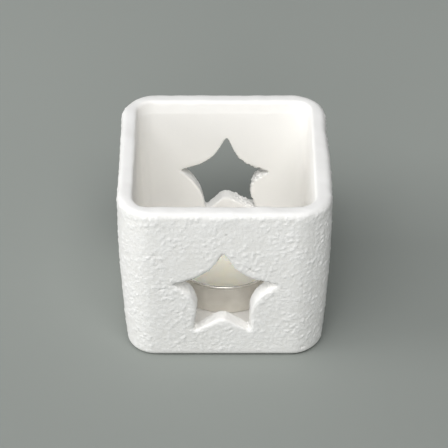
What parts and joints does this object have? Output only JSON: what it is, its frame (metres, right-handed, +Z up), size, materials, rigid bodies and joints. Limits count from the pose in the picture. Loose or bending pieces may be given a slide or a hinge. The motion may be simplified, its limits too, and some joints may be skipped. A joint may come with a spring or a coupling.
{
  "type": "tealight holder",
  "caption": "Cube-shaped tealight holder, open at the top, with a star cut through its front and back walls and a tealight standing inside.",
  "frame": {"origin": "middle of the flat base, on the surface that the holder stands on", "axes": "+Z up; the starred faces look along -Y (front) and +Y (back); +X is to the right seen from the front"},
  "size_m": [0.07, 0.07, 0.062],
  "materials": {
    "ceramic": "matte",
    "cup_foil": "satin",
    "wax": "satin",
    "wick_cotton": "matte",
    "tin": "satin"
  },
  "bodies": {
    "holder": {"holder_body": "ceramic"},
    "tealight": {"tealight_cup": "cup_foil"},
    "candle": {"wax_fill": "wax", "wick": "wick_cotton", "wick_sustainer": "tin"}
  },
  "joints": [
    {"name": "tealight_lift", "type": "slide", "parent": "holder", "child": "tealight", "axis": [0, 0, 1], "range_m": [0, 0.065]},
    {"name": "candle_lift", "type": "slide", "parent": "tealight", "child": "candle", "axis": [0, 0, 1], "range_m": [0, 0.03]}
  ]
}
